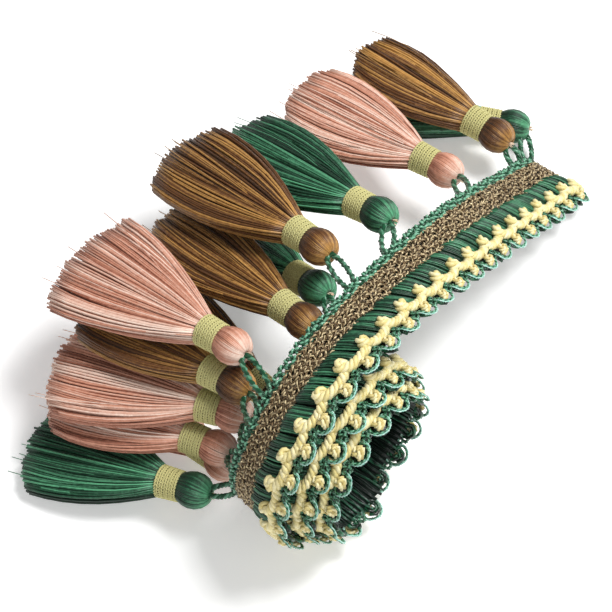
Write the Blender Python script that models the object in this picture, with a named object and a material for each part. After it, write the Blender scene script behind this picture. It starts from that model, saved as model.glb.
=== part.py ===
"""A length of tassel trim, loosely rolled: a braid with tassels on one edge.

The braid's path lies in the Y-Z plane and its width runs along X, from the
tassel edge (-X) to the scalloped edge (+X). The far end lies on the surface,
the run climbs to a crest and winds down into an open roll of 2.4 turns. The
tassels lie to the left in a loose pile. Sizes are in millimetres, times MM.
"""

from math import atan2, cos, pi, radians, sin, sqrt
import random

import bmesh
import bpy
from mathutils import Vector

MM = 0.001
GAP = 0.3               # clearance between separate pieces

# The braid's path: each row is a stretch of the run, read from its far end.
# The heading is measured from +Y (away from the roll) towards +Z.
RUN_START = (131.4, 0.8)            # y, z of the far end
RUN_START_HEADING = 118.0
RUN = (
    # length, heading at its end, twist at its end (degrees)
    (16.0, 149.0, -3.0),
    (26.0, 144.0, -6.0),
    (40.0, 151.0, -10.0),
    (48.0, 159.0, 8.0),
    (26.0, 169.0, 15.0),
    (26.0, 209.0, 19.0),
    (22.0, 228.0, 20.0),
)
ROLL_RADIUS = 35.5      # where the run joins the roll
ROLL_TURNS = 2.4
ROLL_PITCH = 5.2        # how far each turn lies inside the one before it
ROLL_SHIFT = 5.6        # how far each turn slides towards the scalloped edge
ROLL_TWIST = 4.5        # the roll is slightly wider at the scalloped edge
TWIST_FADE = 50.0       # length over which the run's twist eases to the roll's

# Across the braid: v runs from the tassel edge, n out of its face.
BRAID_CENTRE = 14.0
REPEAT = 10.8           # one scallop, floss bundle and rope knot
STEP = REPEAT / 2       # between the sections that the bands are swept through
HANG_DEPTH = -1.3       # n of the ground's face, where the loops are sewn on
PICOT_REACH = -1.0      # v of the tassel edge's outermost line
BANDS = (
    # name, v from, v to, n from, n to, wave in v, wave in n
    ("ground_band", 1.8, 22.6, -2.6, -1.3, 0.0, 0.0),
    ("picot_edge", PICOT_REACH, 1.4, -2.2, -0.4, 1.0, 0.0),
    ("gimp_strip", 2.6, 11.6, -0.9, 0.3, 0.0, 0.0),
    ("floss_row", 12.0, 18.3, -0.9, 0.5, 0.0, 0.5),
    ("rope_row", 18.7, 22.6, -0.9, 0.9, 0.0, 0.5),
    ("scallop_edge", 23.0, 27.6, -2.4, 0.4, 1.4, 0.0),
)

# A tassel, measured along its axis from the middle of its head.
HEAD_RADIUS = 6.2
NECK_RADIUS = 4.4
COLLAR_RADIUS = 5.4
NECK_FROM, NECK_TO = 5.2, 13.2
SKIRT_FROM = 14.4
LOCKS_ACROSS, LOCKS_DEEP = 6, 2
LOCK_FILL = 0.86        # share of its cell that a lock takes at its cut end
LOCK_RAGGED = (-1.8, 1.0)           # how far a lock ends short of or past the tip
LOCK_ARC = 6.0          # how much shorter the outermost locks are
LOCK_ROWS = ((0.3, 4.9), (0.62, 4.5), (1.0, 4.0))   # share of its length, half the skirt's depth
FAN_EASE = 1.8          # how soon a skirt opens: 1 is a plain cone
BAND_WALL = 1.0
LOOP_CORD_RADIUS = 1.15
LOOP_HALF_WIDTH = 2.3
LOOP_SECTIONS = 10

TASSELS = (
    # name, colour, head (x, y, z), tip (x, y, z), half width at the tip, belly, the repeat that it hangs from
    ("far_green", "green", (-26.5, 136.8, 6.4), (-82, 110.5, 4.0), 11, 0.1, 0),
    ("far_brown", "brown", (-25.7, 123.6, 16.5), (-88.0, 123.6, 15.5), 11.5, 0.3, 1),
    ("far_pink", "pink", (-29, 95, 25), (-94.0, 90.8, 21.8), 15.5, 0.25, 5),
    ("mid_green", "green", (-28.8, 53.2, 49), (-98.0, 57.6, 27), 15.5, 0.2, 10),
    ("crest_brown", "brown", (-35.5, 27.5, 55), (-105.5, 35.8, 37.8), 17.5, 0.12, 12),
    ("under_green", "green", (-32, 22, 38.5), (-89, 29.8, 12), 13, 0.2, 32),
    ("under_brown", "brown", (-25, 5.5, 46), (-94.5, 15.2, 29.3), 12.5, 0.35, 34),
    ("top_pink", "pink", (-34.7, -20.9, 57), (-103.5, -20.1, 42.8), 22, -0.05, 17),
    ("side_brown", "brown", (-28.6, -27.1, 45.6), (-91.3, -29.3, 35.8), 13.5, 0.15, 18),
    ("side_pink", "pink", (-26.5, -31.5, 34), (-89.5, -49.8, 26.5), 19, 0.05, 19),
    ("low_pink", "pink", (-26.7, -40.5, 22.5), (-87.3, -53.5, 17.5), 16, 0.15, 20),
    ("low_green", "green", (-26, -55, 15), (-85.5, -71.2, 3.9), 17.5, 0.05, 22),
    ("hidden_pink", "pink", (-27, -38, 6.4), (-88, -35, 3.9), 15, 0.1, 24),
    ("hidden_brown", "brown", (-27, -8, 6.4), (-89, -3, 3.9), 15, 0.1, 26),
)

ROUGHNESS = 0.45        # satin yarn
METAL_YARN = 0.3        # metallic share of the neck bands
COLOURS = {
    "green": (0.014, 0.147, 0.058),
    "pink": (0.694, 0.356, 0.231),
    "brown": (0.254, 0.102, 0.023),
    "olive_gold": (0.323, 0.275, 0.042),
    "gimp_tan": (0.434, 0.266, 0.122),
    "cream": (0.880, 0.799, 0.434),
    "dark_green": (0.004, 0.023, 0.012),
}
BAND_COLOURS = {
    "ground_band": "dark_green",
    "picot_edge": "green",
    "gimp_strip": "gimp_tan",
    "floss_row": "green",
    "rope_row": "cream",
    "scallop_edge": "cream",
}


class BraidPath:
    """The braid's line, sampled each millimetre from its far end inwards."""

    def __init__(self):
        self.stations = []          # y, z, heading, twist, slide
        self._follow_run()
        self._wind_roll()

    def _follow_run(self):
        y, z = RUN_START
        heading, twist = radians(RUN_START_HEADING), 0.0
        for length, end_heading, end_twist in RUN:
            steps = round(length)
            turn = (radians(end_heading) - heading) / steps
            twist_step = (radians(end_twist) - twist) / steps
            for _ in range(steps):
                self.stations.append((y, z, heading, twist, 0.0))
                y += cos(heading + turn / 2)
                z += sin(heading + turn / 2)
                heading += turn
                twist += twist_step
        self.run_end = (y, z, heading, twist)

    def _wind_roll(self):
        y, z, heading, twist = self.run_end
        centre = (y - sin(heading) * ROLL_RADIUS, z + cos(heading) * ROLL_RADIUS)
        angle, travelled = 0.0, 0.0
        while angle < ROLL_TURNS * 2 * pi:
            turns = angle / (2 * pi)
            radius = ROLL_RADIUS - ROLL_PITCH * turns
            fade = min(1.0, travelled / TWIST_FADE)
            self.stations.append((
                centre[0] + radius * sin(heading + angle),
                centre[1] - radius * cos(heading + angle),
                heading + angle,
                twist + (radians(ROLL_TWIST) - twist) * fade,
                ROLL_SHIFT * turns,
            ))
            angle += 1.0 / radius
            travelled += 1.0
        self.centre = centre

    def length(self):
        """Length of the braid in millimetres."""
        return len(self.stations) - 1.0

    def point(self, distance, v, n):
        """A point of the braid, v across it and n out of its face."""
        low = min(int(distance), len(self.stations) - 2)
        share = distance - low
        a, b = self.stations[low], self.stations[low + 1]
        y, z, heading, twist, slide = (p + (q - p) * share for p, q in zip(a, b))
        outward = Vector((0.0, sin(heading), -cos(heading)))
        across = Vector((1.0, 0.0, 0.0))
        width = across * cos(twist) + outward * sin(twist)
        normal = outward * cos(twist) - across * sin(twist)
        return Vector((0.0, y, z)) + width * (v - BRAID_CENTRE + slide) + normal * n


def material(name):
    """A plain finish in one of the trim's colours."""
    found = bpy.data.materials.get(name)
    if found:
        return found
    made = bpy.data.materials.new(name)
    made.use_nodes = True
    shader = made.node_tree.nodes["Principled BSDF"]
    shader.inputs["Base Color"].default_value = (*COLOURS[name], 1.0)
    shader.inputs["Roughness"].default_value = ROUGHNESS
    shader.inputs["Metallic"].default_value = METAL_YARN if name == "olive_gold" else 0.0
    return made


def new_object(name, colour, mesh_data, parent):
    """Turn a finished bmesh into a named object under the trim's empty."""
    bmesh.ops.recalc_face_normals(mesh_data, faces=mesh_data.faces)
    mesh = bpy.data.meshes.new(name)
    mesh_data.to_mesh(mesh)
    mesh_data.free()
    mesh.materials.append(material(colour))
    made = bpy.data.objects.new(name, mesh)
    made.parent = parent
    bpy.context.collection.objects.link(made)
    return made


def join_rings(mesh_data, rings):
    """Join each ring of vertices to the next one with quads."""
    for first, second in zip(rings, rings[1:]):
        count = len(first)
        for i in range(count):
            j = (i + 1) % count
            mesh_data.faces.new((first[i], first[j], second[j], second[i]))


def close_tube(mesh_data, rings):
    """Join rings into a tube with capped ends."""
    join_rings(mesh_data, rings)
    mesh_data.faces.new(rings[0])
    mesh_data.faces.new(list(reversed(rings[-1])))


def braid_band(path, row, parent):
    """One band of the braid, swept along the whole path."""
    name, v_from, v_to, n_from, n_to, v_wave, n_wave = row
    mesh_data = bmesh.new()
    rings = []
    for k in range(int(path.length() / STEP) + 1):
        distance = k * STEP
        crest = k % 2 == 0
        low_v = v_from + (v_wave if crest and v_from < BRAID_CENTRE else 0.0)
        high_v = v_to - (v_wave if crest and v_from > BRAID_CENTRE else 0.0)
        top = n_to + (0.0 if crest else n_wave)
        corners = ((low_v, n_from), (high_v, n_from), (high_v, top), (low_v, top))
        rings.append([mesh_data.verts.new(path.point(distance, v, n) * MM) for v, n in corners])
    for vertex in mesh_data.verts:
        vertex.co.z = max(vertex.co.z, 0.0)
    close_tube(mesh_data, rings)
    return new_object(name, BAND_COLOURS[name], mesh_data, parent)


def disc_grid():
    """Grid corners (u, v) and their places on the unit disc."""
    places = {}
    for i in range(LOCKS_ACROSS + 1):
        for j in range(LOCKS_DEEP + 1):
            u = 2 * i / LOCKS_ACROSS - 1
            v = 2 * j / LOCKS_DEEP - 1
            places[i, j] = (u * sqrt(1 - v * v / 2), v * sqrt(1 - u * u / 2))
    return places


def rim_corners():
    """Indices of the grid's outer corners, in order round the disc."""
    rim = [(i, 0) for i in range(LOCKS_ACROSS)]
    rim += [(LOCKS_ACROSS, j) for j in range(LOCKS_DEEP)]
    rim += [(i, LOCKS_DEEP) for i in range(LOCKS_ACROSS, 0, -1)]
    rim += [(0, j) for j in range(LOCKS_DEEP, 0, -1)]
    return rim


def octagon(angle):
    """Radius of a unit octagon with a corner at angle zero."""
    half = pi / 8
    return cos(half) / cos(angle % (2 * half) - half)


class Tassel:
    """A head, neck band, skirt of locks and hanging loop."""

    # along the axis, radius, and whether the section is the neck's octagon
    BODY_ROWS = (
        (-5.7, 2.4, False),
        (-3.4, 5.1, False),
        (1.2, HEAD_RADIUS, False),
        (NECK_FROM - GAP, NECK_RADIUS, True),
        (NECK_TO + GAP, NECK_RADIUS, True),
    )

    def __init__(self, row, number):
        self.name, self.colour, head, tip, self.half_width, self.belly, self.hung_from = row
        self.head = Vector(head)
        self.axis = Vector(tip) - self.head
        self.length = self.axis.length
        self.axis.normalize()
        self.side = self.axis.cross(Vector((0, 0, 1))).normalized()
        self.up = self.side.cross(self.axis)
        self.random = random.Random(number)

    def place(self, along, aside, above):
        """A point of the tassel in the trim's frame, in metres."""
        return (self.head + self.axis * along + self.side * aside + self.up * above) * MM

    def body(self, parent):
        """Head, neck and collar, with the locks growing from the collar."""
        mesh_data = bmesh.new()
        grid = disc_grid()
        rim = rim_corners()
        rings = []
        for along, radius, is_neck in self.BODY_ROWS:
            ring = []
            for corner in rim:
                x, y = grid[corner]
                angle = atan2(y, x)
                size = radius * (octagon(angle) if is_neck else 1.0)
                place = self.place(along, size * cos(angle), size * sin(angle))
                ring.append(mesh_data.verts.new(place))
            rings.append(ring)
        collar = {
            corner: mesh_data.verts.new(self.place(SKIRT_FROM, x * COLLAR_RADIUS, y * COLLAR_RADIUS))
            for corner, (x, y) in grid.items()
        }
        rings.append([collar[corner] for corner in rim])
        join_rings(mesh_data, rings)
        mesh_data.faces.new(rings[0])
        for i in range(LOCKS_ACROSS):
            for j in range(LOCKS_DEEP):
                self.add_lock(mesh_data, collar, i, j)
        return new_object("tassel_" + self.name, self.colour, mesh_data, parent)

    def add_lock(self, mesh_data, collar, i, j):
        """One four-sided lock, fused to its own cell of the collar."""
        cell = [collar[i, j], collar[i + 1, j], collar[i + 1, j + 1], collar[i, j + 1]]
        u = (2 * i + 1) / LOCKS_ACROSS - 1
        v = (2 * j + 1) / LOCKS_DEEP - 1
        end = self.length + self.random.uniform(*LOCK_RAGGED) - LOCK_ARC * u * u
        rings = [cell]
        for share, depth in LOCK_ROWS:
            along = SKIRT_FROM + (end - SKIRT_FROM) * share
            spread = 1 - (1 - share) ** FAN_EASE + self.belly * sin(pi * share)
            half_width = self.half_width * spread
            lock_width = half_width / LOCKS_ACROSS * LOCK_FILL
            lock_depth = depth / LOCKS_DEEP * LOCK_FILL
            ring = []
            for s, t in ((-1, -1), (1, -1), (1, 1), (-1, 1)):
                aside = u * half_width + s * lock_width
                above = v * depth + t * lock_depth
                ring.append(mesh_data.verts.new(self.place(along, aside, above)))
            rings.append(ring)
        join_rings(mesh_data, rings)
        mesh_data.faces.new(rings[-1])

    def neck_band(self, parent):
        """The knitted band round the neck, an eight-sided ring."""
        mesh_data = bmesh.new()
        inner = NECK_RADIUS + GAP / cos(pi / 8)
        outer = inner + BAND_WALL
        rings = []
        for k in range(8):
            angle = k * pi / 4
            section = ((NECK_FROM, inner), (NECK_FROM, outer), (NECK_TO, outer), (NECK_TO, inner))
            rings.append([
                mesh_data.verts.new(self.place(along, size * cos(angle), size * sin(angle)))
                for along, size in section
            ])
        join_rings(mesh_data, rings + rings[:1])
        return new_object("neck_band_" + self.name, "olive_gold", mesh_data, parent)

    def hanging_loop(self, path, parent):
        """A closed loop of cord from the head to the braid's tassel edge."""
        distance = (self.hung_from + 0.5) * REPEAT
        edge = path.point(distance, PICOT_REACH - GAP - LOOP_CORD_RADIUS, HANG_DEPTH)
        away = ((edge - self.head).normalized() - self.axis).normalized()
        start = self.head + away * (HEAD_RADIUS + GAP + LOOP_CORD_RADIUS)
        along = edge - start
        half = along.length / 2
        along.normalize()
        side = (self.side - along * self.side.dot(along)).normalized()
        middle = (start + edge) / 2
        mesh_data = bmesh.new()
        rings = []
        lift = along.cross(side) * LOOP_CORD_RADIUS
        for k in range(LOOP_SECTIONS):
            angle = 2 * pi * k / LOOP_SECTIONS
            centre = middle + along * half * cos(angle) + side * LOOP_HALF_WIDTH * sin(angle)
            out = along * cos(angle) * LOOP_HALF_WIDTH + side * sin(angle) * half
            out = out.normalized() * LOOP_CORD_RADIUS
            corners = (centre + out, centre + lift, centre - out, centre - lift)
            rings.append([mesh_data.verts.new(corner * MM) for corner in corners])
        join_rings(mesh_data, rings + rings[:1])
        return new_object("loop_" + self.name, "green", mesh_data, parent)


def bounds(objects):
    """Lowest and highest corner of all the objects' meshes."""
    points = [vertex.co for item in objects for vertex in item.data.vertices]
    low = Vector(min(p[k] for p in points) for k in range(3))
    high = Vector(max(p[k] for p in points) for k in range(3))
    return low, high


def main():
    """Build every piece, press the flat spot and centre the trim."""
    for item in list(bpy.data.objects):
        bpy.data.objects.remove(item)
    trim = bpy.data.objects.new("tassel_trim", None)
    bpy.context.collection.objects.link(trim)

    path = BraidPath()
    pieces = [braid_band(path, row, trim) for row in BANDS]
    for number, row in enumerate(TASSELS):
        tassel = Tassel(row, number)
        pieces.append(tassel.body(trim))
        pieces.append(tassel.neck_band(trim))
        pieces.append(tassel.hanging_loop(path, trim))

    low, high = bounds(pieces)
    trim.location = (-(low.x + high.x) / 2, -(low.y + high.y) / 2, -low.z)


main()
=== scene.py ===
"""Looks of a loosely rolled length of tassel trim.

The braid is sewn flat first, in millimetres: x runs along it, y across it from
the tassel edge and z out of its face. BraidPath then wraps the flat work round
the path in which the trim lies. A tassel is laid in its own frame, from the
middle of its head along its axis, and takes its place the same way.
"""

import logging
import random
from dataclasses import dataclass, field
from enum import Enum
from math import pi, radians
from typing import Sequence

import bpy
import numpy as np
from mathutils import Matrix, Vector

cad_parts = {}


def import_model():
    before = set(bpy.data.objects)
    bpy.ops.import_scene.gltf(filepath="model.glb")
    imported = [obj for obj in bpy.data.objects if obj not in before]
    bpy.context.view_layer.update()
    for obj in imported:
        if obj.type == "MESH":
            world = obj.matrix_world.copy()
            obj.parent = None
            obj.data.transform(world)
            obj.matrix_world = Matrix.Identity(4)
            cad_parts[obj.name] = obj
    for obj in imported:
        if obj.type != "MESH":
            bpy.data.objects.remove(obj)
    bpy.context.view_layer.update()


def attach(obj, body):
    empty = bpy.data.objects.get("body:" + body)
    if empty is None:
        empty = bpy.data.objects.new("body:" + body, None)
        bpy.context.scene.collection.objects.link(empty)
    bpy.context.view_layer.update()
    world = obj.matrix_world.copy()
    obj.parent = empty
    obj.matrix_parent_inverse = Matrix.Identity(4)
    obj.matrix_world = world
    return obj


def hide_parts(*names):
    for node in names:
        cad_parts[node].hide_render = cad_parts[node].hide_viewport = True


MM = 0.001
LOG = logging.getLogger("tassel_trim")

# How far the trim's own drawing frame lies from the middle of its box.
TRIM_SHIFT = np.array((39.779, -28.068, 0.0))

REPEAT = 10.8           # one scallop, floss bundle and rope knob
BRAID_CENTRE = 14.0
UP = np.array((0.0, 0.0, 1.0))


def srgb(code: str) -> tuple[float, float, float, float]:
    """Turn an sRGB hex colour into Blender's linear one.

    Args:
        code: the colour as "#RRGGBB".

    Returns:
        Linear red, green, blue and an alpha of one.
    """
    values = [int(code[i:i + 2], 16) / 255 for i in (1, 3, 5)]
    linear = [v / 12.92 if v <= 0.04045 else ((v + 0.055) / 1.055) ** 2.4 for v in values]
    return (*linear, 1.0)


def add_node(tree: bpy.types.NodeTree, kind: str, links: dict | None = None, **settings) -> bpy.types.Node:
    """Add one node with its settings and incoming links.

    Args:
        tree: the node tree of a material or world.
        kind: the node's type name.
        links: for each input, the output socket that feeds it.
        settings: the node's properties, and values of its inputs as in_NAME.

    Returns:
        The new node.
    """
    node = tree.nodes.new(kind)
    for key, value in settings.items():
        if key.startswith("in_"):
            node.inputs[key[3:].replace("_", " ")].default_value = value
        else:
            setattr(node, key, value)
    for key, output in (links or {}).items():
        tree.links.new(output, node.inputs[key])
    return node


@dataclass(frozen=True)
class YarnFinish:
    """Satin rayon yarn: dyed, lightly twisted, glossy along its threads.

    The tint attribute tells one yarn from the next, so that a bundle shows
    light and dark threads; in some pieces it also carries painted light and shade.
    Noise flecks in the colour add random tone and painted glints along the threads,
    and fine noise breaks the gloss along each of them.
    """

    name: str
    dark: str
    mid: str
    light: str
    roughness: float = 0.42
    metallic: float = 0.0
    sheen: float = 0.08
    specular: float = 0.5
    # The noise flecks set here are mixed into the base colour: random tone, and painted glints along the
    # threads.
    glint_fleck_scale: float = 700.0      # per metre: flecks of about 1.4 mm
    glint_fleck_share: float = 0.3
    bump: float = 0.25
    ply_scale: float = 2600.0       # per metre: single threads of about 0.4 mm

    def make(self) -> bpy.types.Material:
        """Build the material, once.

        Returns:
            The material.
        """
        found = bpy.data.materials.get(self.name)
        if found:
            return found
        made = bpy.data.materials.new(self.name)
        made.use_nodes = True
        tree = made.node_tree
        shader = tree.nodes["Principled BSDF"]
        place = add_node(tree, "ShaderNodeTexCoord").outputs["Object"]
        tint = add_node(tree, "ShaderNodeAttribute", attribute_name="tint").outputs["Fac"]
        # Noise flecks in the base colour: random tone, and painted glints along the threads.
        fleck_and_glint = add_node(tree, "ShaderNodeTexNoise", {"Vector": place},
                         in_Scale=self.glint_fleck_scale, in_Detail=3.0, in_Roughness=0.6).outputs["Fac"]
        mixed = add_node(tree, "ShaderNodeMix", {"A": tint, "B": fleck_and_glint},
                         in_Factor=self.glint_fleck_share).outputs["Result"]
        ramp = add_node(tree, "ShaderNodeValToRGB", {"Fac": mixed})
        stops = ramp.color_ramp.elements
        stops[0].position, stops[0].color = 0.2, srgb(self.dark)
        stops[1].position, stops[1].color = 0.82, srgb(self.light)
        middle = stops.new(0.5)
        middle.color = srgb(self.mid)
        tree.links.new(ramp.outputs["Color"], shader.inputs["Base Color"])
        grain = add_node(tree, "ShaderNodeTexNoise", {"Vector": place},
                         in_Scale=self.ply_scale, in_Detail=2.0).outputs["Fac"]
        bump = add_node(tree, "ShaderNodeBump", {"Height": grain},
                        in_Strength=self.bump, in_Distance=0.0004)
        tree.links.new(bump.outputs["Normal"], shader.inputs["Normal"])
        shader.inputs["Roughness"].default_value = self.roughness
        shader.inputs["Metallic"].default_value = self.metallic
        shader.inputs["Sheen Weight"].default_value = self.sheen
        shader.inputs["Specular IOR Level"].default_value = self.specular
        return made


class Yarn(Enum):
    """The yarns and cords that the trim is made of."""

    GREEN = YarnFinish("dyed_green_rayon", "#03170C", "#15482F", "#62B184")
    PINK = YarnFinish("dyed_salmon_rayon", "#84452F", "#D4987E", "#F9E0D0")
    BROWN = YarnFinish("dyed_bronze_rayon", "#1A0D05", "#6A421C", "#CE9C54")
    CREAM = YarnFinish("cream_rayon_cord", "#8E6E28", "#E4D48E", "#FFF9D6", roughness=0.42)
    GREEN_CORD = YarnFinish("green_rayon_cord", "#02170B", "#115434", "#94D8B4", roughness=0.24)
    PALE_CORD = YarnFinish("turquoise_rayon_cord", "#1A665A", "#86C8B6", "#E8FAF0", roughness=0.3)
    GROUND = YarnFinish("woven_green_ground", "#010805", "#04190F", "#0F3D28", roughness=0.6,
                        specular=0.2, sheen=0.0)
    BACKING = YarnFinish("green_weft_backing", "#000503", "#051C12", "#3C8562", roughness=0.34, sheen=0.0,
                         glint_fleck_share=0.6, glint_fleck_scale=900.0)
    TUFT = YarnFinish("undyed_cotton_tuft", "#A87C5C", "#DEBB9A", "#FFF0DC", roughness=0.7)
    GIMP = YarnFinish("tan_metallic_gimp", "#0C0F08", "#866A44", "#F4E2B4", roughness=0.36,
                      metallic=0.25, glint_fleck_share=0.6, glint_fleck_scale=1100.0)
    KNIT = YarnFinish("olive_gold_knit", "#0B0D03", "#6A6422", "#F2E694", roughness=0.34,
                      metallic=0.4, glint_fleck_share=0.35, glint_fleck_scale=1300.0)


def deselect() -> None:
    """Leave nothing selected."""
    bpy.ops.object.select_all(action="DESELECT")


def pick(made: bpy.types.Object) -> None:
    """Make one object the only selected and active one."""
    deselect()
    made.select_set(True)
    bpy.context.view_layer.objects.active = made


def smooth_line(points: Sequence[Sequence[float]], per_span: int) -> np.ndarray:
    """Read a smooth line through given points.

    Args:
        points: the points that the line passes through.
        per_span: samples between one point and the next.

    Returns:
        The samples, one row each.
    """
    line = np.asarray(points, float)
    padded = np.vstack((2 * line[0] - line[1], line, 2 * line[-1] - line[-2]))
    share = np.linspace(0.0, 1.0, per_span, endpoint=False)[:, None]
    spans = []
    for a, b, c, d in zip(padded, padded[1:], padded[2:], padded[3:]):
        spans.append(0.5 * (2 * b + (c - a) * share + (2 * a - 5 * b + 4 * c - d) * share ** 2
                            + (3 * b - a - 3 * c + d) * share ** 3))
    spans.append(line[-1:])
    return np.vstack(spans)


def twist_plies(centre: np.ndarray, count: int, offset: float, lay: float,
                up: np.ndarray = UP, hand: int = 1, closed: bool = False) -> list[np.ndarray]:
    """Twist plies round a cord's centreline.

    Args:
        centre: the cord's centreline.
        count: number of plies.
        offset: distance of each ply from the centreline.
        lay: length of one full twist.
        up: a direction that the cord never runs along.
        hand: 1 or -1, which way the twist goes.
        closed: whether the cord returns to its start, with whole twists.

    Returns:
        One line for each ply.
    """
    ends = np.vstack((centre[-1], centre, centre[0])) if closed else centre
    tangent = np.gradient(ends, axis=0)
    tangent = tangent[1:-1] if closed else tangent
    tangent /= np.linalg.norm(tangent, axis=1)[:, None]
    side = np.cross(tangent, up)
    side /= np.linalg.norm(side, axis=1)[:, None]
    lift = np.cross(side, tangent)
    run = np.vstack((centre, centre[:1])) if closed else centre
    travelled = np.concatenate(([0.0], np.cumsum(np.linalg.norm(np.diff(run, axis=0), axis=1))))
    if closed:
        lay = travelled[-1] / max(1, round(travelled[-1] / lay))
        travelled = travelled[:-1]
    lines = []
    for ply in range(count):
        angle = (hand * 2 * pi * travelled / lay + 2 * pi * ply / count)[:, None]
        lines.append(centre + offset * (np.cos(angle) * side + np.sin(angle) * lift))
    return lines


@dataclass
class Skein:
    """Yarn lines that become one mesh of thin closed tubes."""

    name: str
    sides: int = 4
    lines: list = field(default_factory=list)
    radii: list = field(default_factory=list)
    tints: list = field(default_factory=list)
    closed: list = field(default_factory=list)

    def add(self, line: np.ndarray, radius: float | np.ndarray, tint: float | np.ndarray,
            closed: bool = False) -> None:
        """Add one yarn.

        Args:
            line: the yarn's centreline.
            radius: its radius, one for all or one for each point.
            tint: from 0, dark, to 1, light, one for all or one for each point.
            closed: whether the yarn is a ring.
        """
        self.lines.append(line)
        self.radii.append(np.broadcast_to(radius, len(line)))
        self.tints.append(np.broadcast_to(tint, len(line)))
        self.closed.append(closed)

    def build(self, yarn: Yarn) -> bpy.types.Object:
        """Turn the lines into a curve with a round section, and that into a mesh.

        Args:
            yarn: what the lines are made of.

        Returns:
            The mesh object, with a tint for each yarn.
        """
        curve = bpy.data.curves.new(self.name, "CURVE")
        curve.dimensions = "3D"
        curve.bevel_depth = 1.0
        curve.bevel_resolution = (self.sides - 4) // 2
        for line, radius, closed in zip(self.lines, self.radii, self.closed):
            spline = curve.splines.new("POLY")
            spline.points.add(len(line) - 1)
            spline.points.foreach_set("co", np.column_stack((line, np.ones(len(line)))).ravel())
            spline.points.foreach_set("radius", radius)
            spline.use_cyclic_u = closed
        made = bpy.data.objects.new(self.name, curve)
        bpy.context.collection.objects.link(made)
        pick(made)
        bpy.ops.object.convert(target="MESH")
        made = bpy.context.active_object
        made.data.name = self.name
        bpy.ops.object.mode_set(mode="EDIT")
        bpy.ops.mesh.select_all(action="SELECT")
        bpy.ops.mesh.fill_holes(sides=self.sides)
        bpy.ops.object.mode_set(mode="OBJECT")
        bpy.ops.object.shade_smooth()
        tint = made.data.attributes.new("tint", "FLOAT", "POINT")
        tint.data.foreach_set("value", np.repeat(np.concatenate(self.tints), self.sides))
        made.data.materials.clear()
        made.data.materials.append(yarn.value.make())
        return made


def read_points(made: bpy.types.Object) -> np.ndarray:
    """All the vertices of a mesh object, one row each."""
    points = np.empty(len(made.data.vertices) * 3)
    made.data.vertices.foreach_get("co", points)
    return points.reshape(-1, 3)


def write_points(made: bpy.types.Object, points: np.ndarray) -> None:
    """Move the vertices of a mesh object."""
    made.data.vertices.foreach_set("co", points.ravel())
    made.data.update()


def unevenness(points: np.ndarray, amount: float, length: float) -> np.ndarray:
    """A smooth hand-made irregularity, the same for points that lie together.

    Args:
        points: the points to shift.
        amount: the largest shift.
        length: the rough length of one wave.

    Returns:
        The shift of each point.
    """
    turn = 2 * pi / length
    x, y, z = (points * turn).T
    return amount * np.column_stack((
        np.sin(1.31 * y + 0.77 * x + 1.9) * np.cos(0.59 * x - z),
        np.sin(1.13 * x + 0.4) * np.cos(0.71 * y + 1.7 * z),
        np.sin(0.93 * x + 1.21 * y) * np.cos(0.47 * x + 2.1),
    ))


@dataclass(frozen=True)
class Stretch:
    """A stretch of the run: its length, and heading and twist at its end in degrees."""

    length: float
    heading: float
    twist: float


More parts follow.
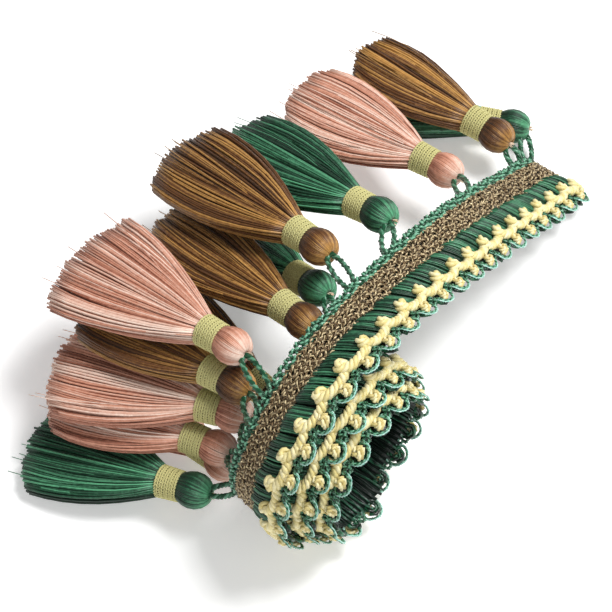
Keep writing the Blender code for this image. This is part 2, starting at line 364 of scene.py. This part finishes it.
@dataclass
class BraidPath:
    """The line in which the braid lies, sampled each millimetre from its far end."""

    start: tuple[float, float] = (131.4, 0.8)
    start_heading: float = 118.0
    run: tuple[Stretch, ...] = (
        Stretch(16, 149, -3),
        Stretch(26, 144, -6),
        Stretch(40, 151, -10),
        Stretch(48, 159, 8),
        Stretch(26, 169, 15),
        Stretch(26, 209, 19),
        Stretch(22, 228, 20),
    )
    roll_radius: float = 35.5
    roll_turns: float = 2.4
    roll_pitch: float = 5.2
    roll_shift: float = 5.6
    roll_twist: float = 4.5
    twist_fade: float = 50.0

    def __post_init__(self) -> None:
        """Walk down the run and round the roll."""
        rows = []
        y, z = self.start
        heading, twist = radians(self.start_heading), 0.0
        for stretch in self.run:
            steps = round(stretch.length)
            turn = (radians(stretch.heading) - heading) / steps
            twist_step = (radians(stretch.twist) - twist) / steps
            for _ in range(steps):
                rows.append((y, z, heading, twist, 0.0))
                y += np.cos(heading + turn / 2)
                z += np.sin(heading + turn / 2)
                heading += turn
                twist += twist_step
        middle_y = y - np.sin(heading) * self.roll_radius
        middle_z = z + np.cos(heading) * self.roll_radius
        angle, travelled = 0.0, 0.0
        while angle < self.roll_turns * 2 * pi:
            turns = angle / (2 * pi)
            radius = self.roll_radius - self.roll_pitch * turns
            fade = min(1.0, travelled / self.twist_fade)
            rows.append((
                middle_y + radius * np.sin(heading + angle),
                middle_z - radius * np.cos(heading + angle),
                heading + angle,
                twist + (radians(self.roll_twist) - twist) * fade,
                self.roll_shift * turns,
            ))
            angle += 1.0 / radius
            travelled += 1.0
        self.stations = np.array(rows)
        self.length = len(rows) - 1.0

    def wrap(self, flat: np.ndarray) -> np.ndarray:
        """Lay flat work along the path.

        Args:
            flat: points as distance, place across and height, in millimetres.

        Returns:
            The same points in the row's frame, in metres.
        """
        inside = np.clip(flat[:, 0], 0.0, self.length)
        index = np.arange(len(self.stations))
        y, z, heading, twist, slide = (np.interp(inside, index, column) for column in self.stations.T)
        past = flat[:, 0] - inside
        zero = np.zeros_like(y)
        outward = np.column_stack((zero, np.sin(heading), -np.cos(heading)))
        across = np.array((1.0, 0.0, 0.0))
        cos_twist, sin_twist = np.cos(twist)[:, None], np.sin(twist)[:, None]
        width = across * cos_twist + outward * sin_twist
        normal = outward * cos_twist - across * sin_twist
        along = np.column_stack((zero, np.cos(heading), np.sin(heading)))
        place = np.column_stack((zero, y, z)) + along * past[:, None]
        place += width * (flat[:, 1] - BRAID_CENTRE + slide)[:, None] + normal * flat[:, 2:3]
        place += TRIM_SHIFT
        place[:, 2] = np.maximum(place[:, 2], 0.0)
        return place * MM

    def lay(self, made: bpy.types.Object, uneven: float = 0.0, wave: float = 9.0) -> bpy.types.Object:
        """Wrap a flat mesh round the path, a little unevenly.

        Args:
            made: the mesh object, in flat millimetres.
            uneven: the largest shift by hand, in millimetres.
            wave: the length of its waves, in millimetres.

        Returns:
            The same object.
        """
        flat = read_points(made)
        write_points(made, self.wrap(flat + unevenness(flat, uneven, wave)))
        return made


@dataclass
class GroundWeave:
    """The woven ground that all the rest is sewn to, ribbed across on its back."""

    path: BraidPath
    width_from: float = 1.8
    width_to: float = 23.2
    back: float = -2.5
    thickness: float = 1.1
    rib: float = 1.35           # weft cords, one and a third millimetres apart
    rib_height: float = 0.14
    rows_across: int = 8
    mid_tint: float = 0.35
    # painted shade: the grooves between the ribs darker, their crests lighter
    rib_painted_shade: float = 0.25

    def build(self) -> bpy.types.Object:
        """Make a fine grid, thicken it, raise its ribs and wrap it.

        Returns:
            The ground's object.
        """
        steps = round(self.path.length / self.rib * 2)
        deselect()
        bpy.ops.mesh.primitive_grid_add(x_subdivisions=steps, y_subdivisions=self.rows_across, size=1.0)
        made = bpy.context.active_object
        made.name = made.data.name = "ground_weave"
        bpy.ops.object.mode_set(mode="EDIT")
        bpy.ops.mesh.select_all(action="SELECT")
        width = self.width_to - self.width_from
        bpy.ops.transform.resize(value=(self.path.length, width, 1.0))
        middle = (self.width_from + self.width_to) / 2
        bpy.ops.transform.translate(value=(self.path.length / 2, middle, self.back))
        bpy.ops.object.mode_set(mode="OBJECT")
        thick = made.modifiers.new("thickness", "SOLIDIFY")
        thick.thickness = self.thickness
        thick.offset = 1.0
        bpy.ops.object.modifier_apply(modifier=thick.name)
        points = read_points(made)
        rib = np.cos(2 * pi * points[:, 0] / self.rib)
        outward = np.where(points[:, 2] > self.back + self.thickness / 2, 1.0, -1.0)
        points[:, 2] += outward * rib * self.rib_height
        # Painted shade: darker in the grooves between the ribs, lighter on their crests.
        tint = made.data.attributes.new("tint", "FLOAT", "POINT")
        tint.data.foreach_set("value", self.mid_tint + self.rib_painted_shade * rib)
        write_points(made, points)
        bpy.ops.object.shade_smooth()
        made.data.materials.append(Yarn.GROUND.value.make())
        self.path.lay(made, 0.2)
        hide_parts("ground_band")
        return made


@dataclass
class WeftBacking:
    """The weft cords that show on the ground's back, in the roll's dark hollow."""

    path: BraidPath
    pitch: float = 1.1
    width_from: float = 1.6
    width_to: float = 24.6
    height: float = -2.75
    lean: float = 0.9           # how far each cord slants, alternately forwards and back
    radius: float = 0.42
    sway: float = 0.2
    ripple: float = 0.22
    samples: int = 7
    tints: tuple[float, float] = (0.1, 0.9)

    def build(self) -> bpy.types.Object:
        """Lay the cords across the back.

        Returns:
            The cords' object.
        """
        chance = random.Random(5)
        skein = Skein("weft_backing")
        share = np.linspace(0.0, 1.0, self.samples)
        for cord in range(int(self.path.length / self.pitch)):
            lean = self.lean * (1 if cord % 2 else -1)
            line = np.column_stack((
                (cord + 0.5) * self.pitch + lean * (share - 0.5) + self.sway * np.sin(9 * share + cord),
                self.width_from + (self.width_to - self.width_from) * share,
                self.height + self.ripple * np.sin(14 * share + 1.9 * cord),
            ))
            skein.add(line, self.radius, chance.uniform(*self.tints))
        made = self.path.lay(skein.build(Yarn.BACKING), 0.2)
        return made


@dataclass
class PicotEdge:
    """A row of small rings along the tassel edge, worked from one twisted cord."""

    path: BraidPath
    pitch: float = REPEAT / 3
    centre: float = 0.75
    ring: float = 1.45
    inner_side: float = 2.35
    ply_radius: float = 0.48
    lay: float = 2.3
    samples: int = 20

    def build(self) -> bpy.types.Object:
        """Coil the cord along the edge.

        Returns:
            The picots' object.
        """
        angle = np.radians(np.linspace(160.0, -160.0, self.samples))
        ring = np.column_stack((
            self.ring * np.sin(angle), self.centre - self.ring * np.cos(angle), -0.55 + 0.12 * angle))
        across = np.array((
            (0.3 * self.pitch, self.inner_side, -1.1),
            (0.75 * self.pitch, self.inner_side, -0.5),
        ))
        once = np.vstack((ring, across))
        count = int(self.path.length / self.pitch)
        line = np.vstack([once + ((k + 0.5) * self.pitch, 0.0, 0.0) for k in range(count)])
        skein = Skein("picot_rings")
        for tint, ply in zip((0.75, 0.35), twist_plies(line, 2, self.ply_radius * 0.95, self.lay)):
            skein.add(ply, self.ply_radius, tint)
        made = self.path.lay(skein.build(Yarn.GREEN_CORD), 0.3, 13.0)
        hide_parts("picot_edge")
        return made


@dataclass
class GimpBraid:
    """The tan and gold gimp: chains of twisted metallic yarn, turned alternately."""

    path: BraidPath
    first: float = 2.95
    spacing: float = 1.05
    chains: int = 9
    ply_radius: float = 0.3
    ply_offset: float = 0.42
    lays: tuple[float, ...] = (2.3, 2.7, 2.2, 2.8, 2.4, 2.6, 2.2, 2.7, 2.3)
    step: float = 0.6
    wave: float = 0.3           # how far each chain snakes from side to side
    crimp: float = 0.16
    height: float = -0.2
    ripple: float = 0.26
    tints: tuple[float, float] = (0.85, 0.15)

    def build(self) -> bpy.types.Object:
        """Lay the chains side by side.

        Returns:
            The gimp's object.
        """
        skein = Skein("gimp_chains")
        along = np.arange(0.0, self.path.length, self.step)
        for chain in range(self.chains):
            wander = self.wave * np.sin(along / 1.3 + chain * 1.7)
            wander += self.crimp * np.sin(along / 0.62 + chain * 2.3)
            line = np.column_stack((
                along,
                self.first + chain * self.spacing + wander,
                self.height + self.ripple * np.sin(along / 1.4 + chain * 2.4),
            ))
            hand = 1 if chain % 2 else -1
            plies = twist_plies(line, 2, self.ply_offset, self.lays[chain], hand=hand)
            for tint, ply in zip(self.tints, plies):
                skein.add(ply, self.ply_radius, tint)
        made = self.path.lay(skein.build(Yarn.GIMP), 0.32, 4.0)
        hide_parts("gimp_strip")
        return made


@dataclass
class FlossBundles:
    """Bundles of loose floss across the braid, fanned out from under the rope."""

    path: BraidPath
    width_from: float = 10.9
    width_to: float = 20.2
    half_width_from: float = 5.1
    half_width_to: float = 4.7
    slant: float = -4.2
    top_threads: int = 16
    low_threads: int = 13
    thread_radius: float = 0.33
    samples: int = 6

    def build(self) -> bpy.types.Object:
        """Lay one bundle in each repeat.

        Returns:
            The bundles' object.
        """
        chance = random.Random(11)
        skein = Skein("floss_bundles")
        share = np.linspace(0.0, 1.0, self.samples)
        for repeat in range(int(self.path.length / REPEAT)):
            middle = (repeat + 0.5) * REPEAT
            for count, height, lift in ((self.top_threads, -0.5, 1.35), (self.low_threads, -0.9, 0.75)):
                for thread in range(count):
                    u = 2 * (thread + 0.5) / count - 1 + chance.uniform(-0.06, 0.06)
                    half = self.half_width_from + (self.half_width_to - self.half_width_from) * share
                    crown = np.sin(pi * (0.12 + 0.8 * share)) * (1 - 0.55 * u * u)
                    line = np.column_stack((
                        middle + u * half + self.slant * (share - 0.35) + chance.uniform(-0.3, 0.3) * share,
                        self.width_from + (self.width_to - self.width_from) * share,
                        height + (lift + chance.uniform(-0.2, 0.25)) * crown,
                    ))
                    skein.add(line, self.thread_radius, chance.uniform(0.25, 0.75))
        made = self.path.lay(skein.build(Yarn.GREEN), 0.25, 15.0)
        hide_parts("floss_row")
        return made


@dataclass
class CreamRope:
    """The thick cream rope, with a small knob turned on its inner side each repeat."""

    path: BraidPath
    ply_radius: float = 0.84
    ply_offset: float = 1.02
    lay: float = 5.2
    # one repeat: along, across and out, from the middle of its knob
    knob: tuple[tuple[float, float, float], ...] = (
        (-4.4, 21.5, 0.1),
        (-2.6, 21.3, 0.3),
        (-0.8, 20.6, 0.7),
        (0.6, 19.4, 1.1),
        (0.6, 18.2, 1.2),
        (-0.6, 17.9, 1.0),
        (-1.2, 18.9, 0.6),
        (-0.3, 20.0, -0.2),
        (1.5, 20.9, -0.2),
        (3.4, 21.4, 0.0),
    )

    def build(self) -> bpy.types.Object:
        """Run the rope along the whole braid.

        Returns:
            The rope's object.
        """
        points = []
        for repeat in range(1, int(self.path.length / REPEAT) + 1):
            points += [(x + repeat * REPEAT - 0.5 * REPEAT, v, n) for x, v, n in self.knob]
        line = smooth_line(points, 3)
        skein = Skein("cream_rope", sides=6)
        for tint, ply in zip((0.7, 0.6, 0.5), twist_plies(line, 3, self.ply_offset, self.lay)):
            skein.add(ply, self.ply_radius, tint)
        made = self.path.lay(skein.build(Yarn.CREAM), 0.3, 21.0)
        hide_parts("rope_row")
        return made


@dataclass
class Scallops:
    """The outer edge: cream loops, each ringed with a green and a pale cord."""

    path: BraidPath
    centre: float = 25.0
    core_ring: float = 1.9
    green_ring: float = 3.3
    pale_ring: float = 3.8
    samples: int = 17

    def cores(self) -> bpy.types.Object:
        """Coil the cream loops.

        Returns:
            The loops' object.
        """
        skein = Skein("scallop_cores", sides=6)
        share = np.linspace(0.0, 1.0, self.samples)
        angle = 2 * pi * (0.1 + 1.6 * share)
        ring = self.core_ring * (1.0 - 0.78 * share)
        for repeat in range(int(self.path.length / REPEAT)):
            line = np.column_stack((
                (repeat + 1) * REPEAT + ring * np.cos(angle),
                self.centre - 0.3 + ring * np.sin(angle),
                0.1 + 1.2 * share,
            ))
            for tint, ply in zip((0.7, 0.4), twist_plies(line, 2, 0.56, 3.0)):
                skein.add(ply, 0.54, tint)
        made = self.path.lay(skein.build(Yarn.CREAM), 0.3, 19.0)
        return made

    def backs(self) -> bpy.types.Object:
        """Coil the green cord that closes each loop at its back.

        Returns:
            The coils' object.
        """
        skein = Skein("scallop_backs")
        angle = np.linspace(0.0, 4.4 * pi, 20)
        ring = np.linspace(0.6, 3.2, 20)
        for repeat in range(int(self.path.length / REPEAT)):
            line = np.column_stack((
                (repeat + 1) * REPEAT + ring * np.cos(angle + repeat),
                self.centre - 0.3 + ring * np.sin(angle + repeat),
                -1.9 + 0.15 * np.sin(3 * angle),
            ))
            skein.add(line, 0.64, 0.3 + 0.3 * np.sin(2.3 * angle))
        made = self.path.lay(skein.build(Yarn.GREEN_CORD), 0.3, 17.0)
        return made

    def rings(self, name: str, yarn: Yarn, ring: float, radius: float, height: float) -> bpy.types.Object:
        """Run a cord round the outer side of each loop.

        Args:
            name: the piece's name.
            yarn: the cord's yarn.
            ring: radius of the cord's arc.
            radius: half the thickness of one of its two plies.
            height: how far out of the face it stands.

        Returns:
            The cord's object.
        """
        points = []
        tuck = 0.52 * ring
        for repeat in range(int(self.path.length / REPEAT)):
            middle = (repeat + 1) * REPEAT
            points.append((middle - REPEAT / 2 + 0.4, self.centre - 1.6, height - 1.5))
            for angle in (-40, 5, 45, 90, 135, 175, 220):
                turn = radians(angle)
                points.append((middle - ring * np.cos(turn), self.centre + ring * np.sin(turn),
                               height - (tuck if angle < 0 or angle > 180 else 0.0)))
        line = smooth_line(points, 3)
        skein = Skein(name)
        for tint, ply in zip((0.75, 0.5), twist_plies(line, 2, radius * 0.8, 1.9)):
            skein.add(ply, radius, tint)
        return self.path.lay(skein.build(yarn), 0.3, 17.0)

    def knots(self) -> bpy.types.Object:
        """Tie a small green knot between one scallop and the next.

        Returns:
            The knots' object.
        """
        skein = Skein("scallop_knots")
        angle = np.linspace(0.0, 2.6 * pi, 12)
        for repeat in range(int(self.path.length / REPEAT)):
            for shift, tilt in ((-0.7, 0.0), (0.7, 1.6)):
                line = np.column_stack((
                    (repeat + 0.5) * REPEAT + shift + 1.0 * np.cos(angle + tilt),
                    self.centre - 0.9 + shift + 1.1 * np.sin(angle + tilt),
                    -0.8 + 0.13 * angle,
                ))
                for tint, ply in zip((0.65, 0.35), twist_plies(line, 2, 0.34, 2.0)):
                    skein.add(ply, 0.36, tint)
        made = self.path.lay(skein.build(Yarn.GREEN_CORD), 0.3, 17.0)
        return made

    def build(self) -> list[bpy.types.Object]:
        """Make the whole edge.

        Returns:
            The pieces of the edge.
        """
        green = self.rings("scallop_rings", Yarn.GREEN_CORD, self.green_ring, 0.33, 0.35)
        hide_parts("scallop_edge")
        pale = self.rings("scallop_pale_rings", Yarn.PALE_CORD, self.pale_ring, 0.2, 0.2)
        return [green, pale, self.cores(), self.backs(), self.knots()]


@dataclass
class Tassel:
    """One tassel, dressed yarn by yarn in its own frame."""

    name: str
    yarn: Yarn
    head: tuple[float, float, float]
    tip: tuple[float, float, float]
    half_width: float
    belly: float
    hung_from: int
    seed: int = 0

    head_radius: float = 6.2
    collar_radius: float = 5.1
    neck_from: float = 5.2
    neck_to: float = 13.2
    fan_ease: float = 1.8       # how soon the skirt opens: 1 is a plain cone
    end_arc: float = 6.0        # how much shorter the outermost yarns are
    columns: int = 64
    layers: int = 5
    strays: int = 4
    tucked: float = 1.2         # how far the skirt starts under the band
    ragged: tuple[float, float] = (-0.9, 0.8)
    thread_radius: tuple[float, float] = (0.27, 0.17)       # at the neck, and what it gains
    head_yarns: int = 66
    band_turns: int = 9
    band_samples: int = 52
    knit_tints: tuple[float, float] = (0.8, 0.1)

    # share of the skirt's length, and half its depth there
    HALF_DEPTH = ((0.0, 0.3, 0.62, 1.0), (4.6, 4.6, 4.2, 3.7))
    # along the axis and radius of the head's outline, from the cord's exit
    HEAD_OUTLINE = (
        (-4.6, 0.7), (-5.6, 1.3), (-5.7, 2.3), (-5.0, 3.7), (-3.5, 5.0), (-1.3, 5.9),
        (1.0, 6.1), (3.0, 5.7), (4.6, 5.0), (5.8, 4.5),
    )

    def __post_init__(self) -> None:
        """Set up the tassel's own axes."""
        self.origin = np.array(self.head, float)
        axis = np.array(self.tip, float) - self.origin
        self.length = float(np.linalg.norm(axis))
        self.axis = axis / self.length
        side = np.cross(UP, self.axis)
        self.side = side / np.linalg.norm(side)
        self.up = np.cross(self.axis, self.side)
        self.chance = random.Random(self.seed)

    def lay(self, made: bpy.types.Object) -> bpy.types.Object:
        """Put a piece made in the tassel's own frame in its place.

        Args:
            made: the mesh object, as along, aside and above, in millimetres.

        Returns:
            The same object.
        """
        own = read_points(made)
        frame = np.vstack((self.axis, self.side, self.up))
        place = own @ frame + self.origin + TRIM_SHIFT
        place[:, 2] = np.maximum(place[:, 2], 0.05)
        write_points(made, place * MM)
        return made

    def skirt(self) -> bpy.types.Object:
        """Fan the skirt's yarns out from under the band.

        Returns:
            The skirt's object.
        """
        skein = Skein("skirt_" + self.name)
        chance = self.chance
        share = np.linspace(0.0, 1.0, 8)
        opening = 1 - (1 - share) ** self.fan_ease + self.belly * np.sin(pi * share)
        depth = np.interp(share, *self.HALF_DEPTH)
        phase = chance.uniform(0.0, 2 * pi)
        root = self.neck_to - self.tucked
        thin, gain = self.thread_radius
        for column in range(self.columns):
            for layer in range(self.layers):
                u = 2 * (column + 0.5) / self.columns - 1 + chance.uniform(-0.02, 0.02)
                v = 2 * (layer + 0.5) / self.layers - 1 + chance.uniform(-0.12, 0.12)
                u, v = max(-1.0, min(1.0, u)), max(-1.0, min(1.0, v))
                ragged = chance.uniform(*self.ragged) + 0.5 * np.sin(7 * u + phase)
                end = self.length + ragged - self.end_arc * u * u
                along = root + (end - root) * share
                neck_u = u * np.sqrt(1 - v * v / 2) * self.collar_radius
                neck_v = v * np.sqrt(1 - u * u / 2) * self.collar_radius
                wave = 0.45 * np.sin(6 * u + 4.0 * share + phase) + 0.25 * np.sin(17 * u - 5 * share)
                ridge = 0.4 * np.sin(11 * u + 1.5 * share + 2 * phase) + 0.25 * np.sin(29 * u + phase)
                bend = chance.uniform(-0.3, 0.3) * np.sin(pi * share * chance.uniform(1.2, 2.4))
                held = np.clip(1 - opening, 0.0, 1.0)
                aside = neck_u * held + u * self.half_width * opening + wave * share + bend
                height = v * depth * np.sqrt(max(0.15, 1 - 0.75 * u * u)) + ridge * share
                above = neck_v * held + height * np.minimum(1.0, opening) + 0.4 * bend
                radius = thin + gain * np.minimum(1.0, share * 2.2)
                # Random tone for each yarn and each clump; the upper layers are painted lighter and the
                # lower ones darker, as painted light from above and painted shade beneath; lighter towards
                # the neck.
                tint = chance.uniform(0.22, 0.78) + 0.1 * v + 0.12 * np.sin(11 * u + 2 * phase)
                tone_and_painted_light = tint + 0.14 * (1 - share) ** 3 - 0.05
                skein.add(np.column_stack((along, aside, above)), radius, tone_and_painted_light)
        for _ in range(self.strays):
            u = chance.uniform(-0.9, 0.9)
            lift = chance.uniform(0.6, 2.2)
            line = np.column_stack((
                root + (self.length + chance.uniform(0.5, 3.0) - root) * share,
                u * self.half_width * opening + chance.uniform(-2.5, 2.5) * share ** 2,
                4.3 * np.minimum(1.0, opening) * np.sqrt(1 - 0.75 * u * u) + lift * np.sin(pi * share * 0.8),
            ))
            skein.add(line, 0.16, chance.uniform(0.6, 0.9))
        return self.lay(skein.build(self.yarn))

    def ball(self) -> bpy.types.Object:
        """Run the head's yarns over the ball, from the cord's exit to the neck.

        Returns:
            The head's object.
        """
        skein = Skein("head_" + self.name)
        outline = smooth_line(self.HEAD_OUTLINE, 1)
        for k in range(self.head_yarns):
            angle = 2 * pi * (k + self.chance.uniform(-0.15, 0.15)) / self.head_yarns
            turn = angle + 0.02 * outline[:, 0]
            puff = 1 + self.chance.uniform(-0.012, 0.012)
            line = np.column_stack((
                outline[:, 0], outline[:, 1] * np.cos(turn) * puff, outline[:, 1] * np.sin(turn) * puff))
            radius = 0.12 + 0.04 * outline[:, 1]
            # Painted light: the yarns are lighter towards the cap, as a painted highlight, and darker
            # towards the neck.
            painted_cap_highlight = 0.3 * np.clip(-outline[:, 0] / 5, -0.6, 1.0)
            skein.add(line, radius, self.chance.uniform(0.3, 0.65) + painted_cap_highlight)
        return self.lay(skein.build(self.yarn))

    def core(self) -> bpy.types.Object:
        """Turn the filling under the head's yarns and the band, dark as painted shade between the yarns.

        Returns:
            The filling's object.
        """
        deselect()
        bpy.ops.mesh.primitive_uv_sphere_add(segments=20, ring_count=12, radius=self.head_radius - 0.75)
        made = bpy.context.active_object
        made.name = made.data.name = "core_" + self.name
        points = read_points(made)[:, [2, 0, 1]]
        past = points[:, 0] > 1.0
        points[past, 0] = 1.0 + (points[past, 0] - 1.0) * 3.0
        write_points(made, points)
        # Painted shade: the filling takes the yarn's darkest colour.
        tint = made.data.attributes.new("tint", "FLOAT", "POINT")
        tint.data.foreach_set("value", np.zeros(len(points)))
        bpy.ops.object.shade_smooth()
        made.data.materials.append(self.yarn.value.make())
        return self.lay(made)

    def band(self) -> bpy.types.Object:
        """Wind the knitted band, its rows twisted one way and then the other.

        Returns:
            The band's object.
        """
        skein = Skein("knit_" + self.name)
        steps = self.band_samples
        angle = np.linspace(0.0, 2 * pi, steps, endpoint=False)
        pitch = (self.neck_to - self.neck_from) / self.band_turns
        for row in range(self.band_turns):
            share = (row + 0.5) / self.band_turns
            ring = 5.05 + 0.35 * share
            line = np.column_stack((
                np.full(steps, self.neck_from + (row + 0.5) * pitch),
                ring * np.cos(angle),
                ring * np.sin(angle),
            ))
            hand = 1 if row % 2 else -1
            plies = twist_plies(line, 2, 0.31, 2.1, up=np.array((1.0, 0.0, 0.0)), hand=hand, closed=True)
            for tint, ply in zip(self.knit_tints, plies):
                skein.add(ply, 0.29, tint + self.chance.uniform(-0.1, 0.1), closed=True)
        made = self.lay(skein.build(Yarn.KNIT))
        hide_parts("neck_band_" + self.name)
        return made

    def loop(self, path: BraidPath) -> bpy.types.Object:
        """Hang the tassel from the braid by a loop of twisted cord.

        Args:
            path: the braid's path.

        Returns:
            The loop's object.
        """
        distance = (self.hung_from + 0.5) * REPEAT
        edge = path.wrap(np.array(((distance, 0.3, -1.6),)))[0] / MM - TRIM_SHIFT
        towards = edge - self.origin
        away = towards / np.linalg.norm(towards) - self.axis
        away /= np.linalg.norm(away)
        start = self.origin + away * 5.0
        along = edge - start
        side = self.side - along * (self.side @ along) / (along @ along)
        side /= np.linalg.norm(side)
        angle = np.linspace(0.0, 2 * pi, 28, endpoint=False)
        half_width = 2.4
        line = start + np.outer((1 - np.cos(angle)) / 2, along) + np.outer(half_width * np.sin(angle), side)
        lift = np.cross(along, side)
        skein = Skein("cord_loop_" + self.name, sides=6)
        for tint, ply in zip((0.35, 0.5, 0.65), twist_plies(line, 3, 0.58, 5.0, up=lift, closed=True)):
            skein.add(ply, 0.62, tint, closed=True)
        made = skein.build(Yarn.GREEN_CORD)
        write_points(made, (read_points(made) + TRIM_SHIFT) * MM)
        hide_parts("loop_" + self.name)
        return made

    def tuft(self) -> bpy.types.Object:
        """Leave a small pale tuft where the cord comes out of the head.

        Returns:
            The tuft's object.
        """
        skein = Skein("tuft_" + self.name)
        for _ in range(7):
            turn = self.chance.uniform(0.0, 2 * pi)
            lean = self.chance.uniform(0.2, 0.9)
            reach = self.chance.uniform(1.6, 2.6)
            share = np.linspace(0.0, 1.0, 4)
            line = np.column_stack((
                -5.0 - reach * share,
                (0.4 + lean * share) * np.cos(turn),
                (0.4 + lean * share) * np.sin(turn),
            ))
            skein.add(line, 0.3 - 0.12 * share, self.chance.uniform(0.4, 0.9))
        return self.lay(skein.build(Yarn.TUFT))

    def build(self, path: BraidPath) -> list[bpy.types.Object]:
        """Make the whole tassel.

        Args:
            path: the braid's path, from which the tassel hangs.

        Returns:
            The tassel's pieces.
        """
        skirt = self.skirt()
        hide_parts("tassel_" + self.name)
        pieces = [skirt, self.ball(), self.core(), self.tuft()]
        return pieces + [self.band(), self.loop(path)]


TASSELS = (
    # name, yarn, head, tip, half width at the tip, belly, the repeat that it hangs from
    ("far_green", Yarn.GREEN, (-26.5, 136.8, 6.4), (-82, 110.5, 4.0), 11, 0.1, 0),
    ("far_brown", Yarn.BROWN, (-25.7, 123.6, 16.5), (-88.0, 123.6, 15.5), 11.5, 0.3, 1),
    ("far_pink", Yarn.PINK, (-29, 95, 25), (-94.0, 90.8, 21.8), 15.5, 0.25, 5),
    ("mid_green", Yarn.GREEN, (-28.8, 53.2, 49), (-98.0, 57.6, 27), 15.5, 0.2, 10),
    ("crest_brown", Yarn.BROWN, (-35.5, 27.5, 55), (-105.5, 35.8, 37.8), 17.5, 0.12, 12),
    ("under_green", Yarn.GREEN, (-32, 22, 38.5), (-89, 29.8, 12), 13, 0.2, 32),
    ("under_brown", Yarn.BROWN, (-25, 5.5, 46), (-94.5, 15.2, 29.3), 12.5, 0.35, 34),
    ("top_pink", Yarn.PINK, (-34.7, -20.9, 57), (-103.5, -20.1, 42.8), 22, -0.05, 17),
    ("side_brown", Yarn.BROWN, (-28.6, -27.1, 45.6), (-91.3, -29.3, 35.8), 13.5, 0.15, 18),
    ("side_pink", Yarn.PINK, (-26.5, -31.5, 34), (-89.5, -49.8, 26.5), 19, 0.05, 19),
    ("low_pink", Yarn.PINK, (-26.7, -40.5, 22.5), (-87.3, -53.5, 17.5), 16, 0.15, 20),
    ("low_green", Yarn.GREEN, (-26, -55, 15), (-85.5, -71.2, 3.9), 17.5, 0.05, 22),
    ("hidden_pink", Yarn.PINK, (-27, -38, 6.4), (-88, -35, 3.9), 15, 0.1, 24),
    ("hidden_brown", Yarn.BROWN, (-27, -8, 6.4), (-89, -3, 3.9), 15, 0.1, 26),
)


@dataclass
class Studio:
    """The plain floor, the soft lights and the camera."""

    camera_place: tuple[float, float, float] = (194.8, -285.7, 703.8)     # in the trim's drawing frame
    camera_turn: tuple[float, float, float] = (29.43, 0.0, 37.03)
    lens: float = 131.9
    floor_glow: float = 0.3     # the floor keeps its white under the soft light
    sky: float = 0.28
    softboxes: tuple = (
        # name, place in metres, side in metres, power in watts
        ("key", (0.25, 0.5, 1.1), 0.45, 16.0),
        ("fill", (0.7, -0.7, 0.6), 1.0, 3.5),
    )

    def floor(self) -> None:
        """Lay a plain white floor."""
        deselect()
        bpy.ops.mesh.primitive_plane_add(size=6.0)
        made = bpy.context.active_object
        made.name = "floor"
        white = bpy.data.materials.new("floor_white")
        white.use_nodes = True
        shader = white.node_tree.nodes["Principled BSDF"]
        shader.inputs["Base Color"].default_value = srgb("#FAFAFA")
        shader.inputs["Roughness"].default_value = 0.9
        shader.inputs["Emission Color"].default_value = srgb("#FFFFFF")
        shader.inputs["Emission Strength"].default_value = self.floor_glow
        made.data.materials.append(white)

    def light(self, name: str, place: Sequence[float], size: float, power: float) -> None:
        """Hang one square softbox that faces the trim.

        Args:
            name: the light's name.
            place: where it hangs, in metres.
            size: its side, in metres.
            power: its power in watts.
        """
        lamp = bpy.data.lights.new(name, "AREA")
        lamp.size = size
        lamp.energy = power
        made = bpy.data.objects.new(name, lamp)
        made.location = place
        made.rotation_euler = Vector(place).to_track_quat("Z", "Y").to_euler()
        bpy.context.collection.objects.link(made)

    def camera(self) -> None:
        """Set the camera at the photograph's angle."""
        data = bpy.data.cameras.new("camera")
        data.lens = self.lens
        data.clip_end = 20.0
        made = bpy.data.objects.new("camera", data)
        made.location = (np.array(self.camera_place) + TRIM_SHIFT) * MM
        made.rotation_euler = [radians(v) for v in self.camera_turn]
        bpy.context.collection.objects.link(made)
        bpy.context.scene.camera = made

    def build(self) -> None:
        """Set up the whole studio."""
        self.floor()
        self.camera()
        for box in self.softboxes:
            self.light(*box)
        world = bpy.data.worlds.new("soft_white")
        world.use_nodes = True
        background = world.node_tree.nodes["Background"]
        background.inputs["Color"].default_value = (1.0, 1.0, 1.0, 1.0)
        background.inputs["Strength"].default_value = self.sky
        bpy.context.scene.world = world
        bpy.context.scene.view_settings.view_transform = "Standard"


def main() -> None:
    """Dress the trim, piece by piece, and set up the studio."""
    logging.basicConfig(level=logging.INFO, format="%(message)s")
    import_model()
    Studio().build()
    path = BraidPath()
    pieces = Scallops(path).build()
    for part in (GroundWeave, WeftBacking, PicotEdge, GimpBraid, FlossBundles, CreamRope):
        pieces.append(part(path).build())
    for seed, row in enumerate(TASSELS):
        pieces += Tassel(*row, seed=seed).build(path)
    total = 0
    for made in pieces:
        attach(made, "root")
        made.data.calc_loop_triangles()
        total += len(made.data.loop_triangles)
        LOG.info("%s: %d triangles", made.name, len(made.data.loop_triangles))
    LOG.info("all pieces: %d triangles", total)


if __name__ == "__main__":
    main()
